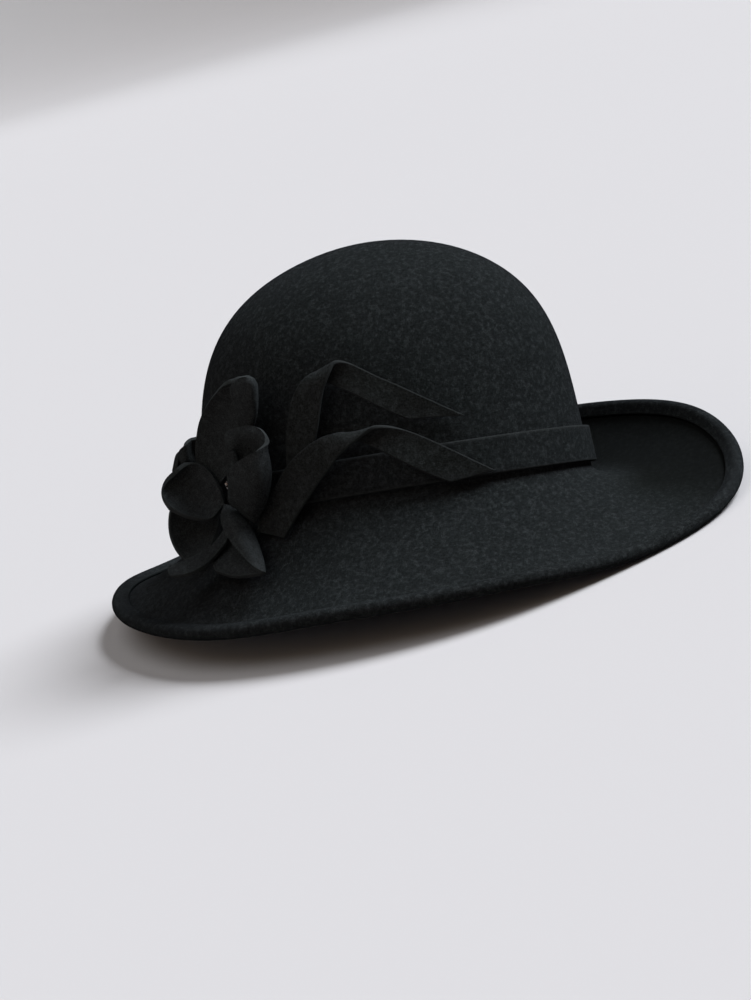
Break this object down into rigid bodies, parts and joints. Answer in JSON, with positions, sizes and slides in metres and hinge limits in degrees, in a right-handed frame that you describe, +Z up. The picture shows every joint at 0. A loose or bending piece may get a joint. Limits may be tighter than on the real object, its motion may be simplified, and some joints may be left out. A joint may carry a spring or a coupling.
{
  "type": "felt hat",
  "caption": "Wide-brimmed felt hat with a round crown, rolled brim edge, felt band, folded ribbons and a felt flower, worn on the head against sun and cold.",
  "frame": {"origin": "centre of the hat's box at the surface that it rests on", "axes": "+Z up from the surface, -Y to the front of the hat and +X to the wearer's left, with the hat tilted as it rests by itself"},
  "size_m": [0.3036, 0.3392, 0.162],
  "materials": {
    "body_felt": "matte charcoal wool felt, fine fibres",
    "band_felt": "matte charcoal wool felt strip with cut edges",
    "ribbon_felt": "matte charcoal wool felt strip with cut edges",
    "petal_felt": "matte charcoal wool felt, cut and curled",
    "bead_glass": "dark polished bead"
  },
  "bodies": {
    "root": {"hat_body": "body_felt", "band": "band_felt", "ribbon_upper": "ribbon_felt", "ribbon_lower": "ribbon_felt", "petal_top": "petal_felt", "petal_centre": "petal_felt", "petal_left": "petal_felt", "petal_back": "petal_felt", "petal_cup": "petal_felt", "petal_strip": "petal_felt", "petal_right": "petal_felt", "bead": "bead_glass"}
  },
  "joints": []
}
